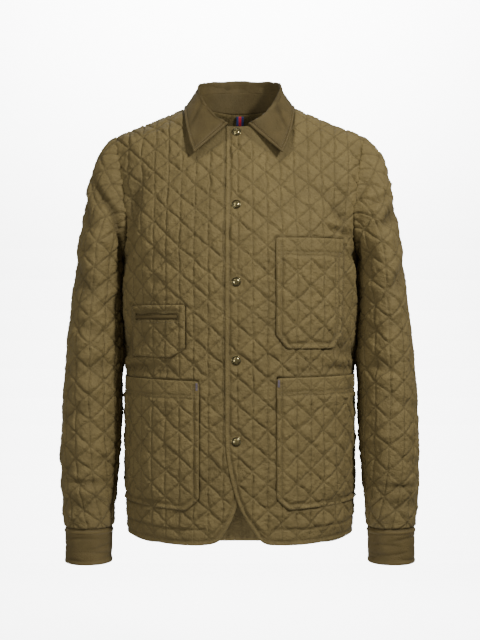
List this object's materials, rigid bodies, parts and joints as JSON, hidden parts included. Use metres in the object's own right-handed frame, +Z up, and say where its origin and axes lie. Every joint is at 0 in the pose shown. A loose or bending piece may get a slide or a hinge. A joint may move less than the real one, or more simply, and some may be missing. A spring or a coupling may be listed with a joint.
{
  "type": "quilted jacket",
  "caption": "Quilted snap-front jacket with a fold-down collar, patch and welt pockets and plain cuffs, filled out as worn and open at neck, hem and cuffs.",
  "frame": {"origin": "centre of the neck, level with the neck ends of the shoulder seams, where the wearer's shoulders carry the jacket", "axes": "+Z up, the front faces -Y, and the wearer's left is +X"},
  "size_m": [0.5848, 0.2659, 0.796],
  "materials": {
    "shell": "smooth weave with a soft sheen",
    "collar": "plain weave",
    "cuff": "plain weave",
    "snap": "antique, darkened",
    "tape": "woven tape",
    "patch": "felt"
  },
  "bodies": {
    "root": {"back": "shell", "front_left": "shell", "front_right": "shell", "sleeve_right": "shell", "sleeve_left": "shell", "sleeve_patch": "patch", "cuff_right": "cuff", "cuff_left": "cuff", "collar_stand": "collar", "collar_fall": "collar", "pocket_chest": "shell", "pocket_hip_left": "shell", "pocket_hip_right": "shell", "pocket_welt": "shell", "welt_lip": "cuff", "snap_1": "snap", "snap_2": "snap", "snap_3": "snap", "snap_4": "snap", "snap_5": "snap", "hanger_loop": "tape"}
  },
  "joints": []
}
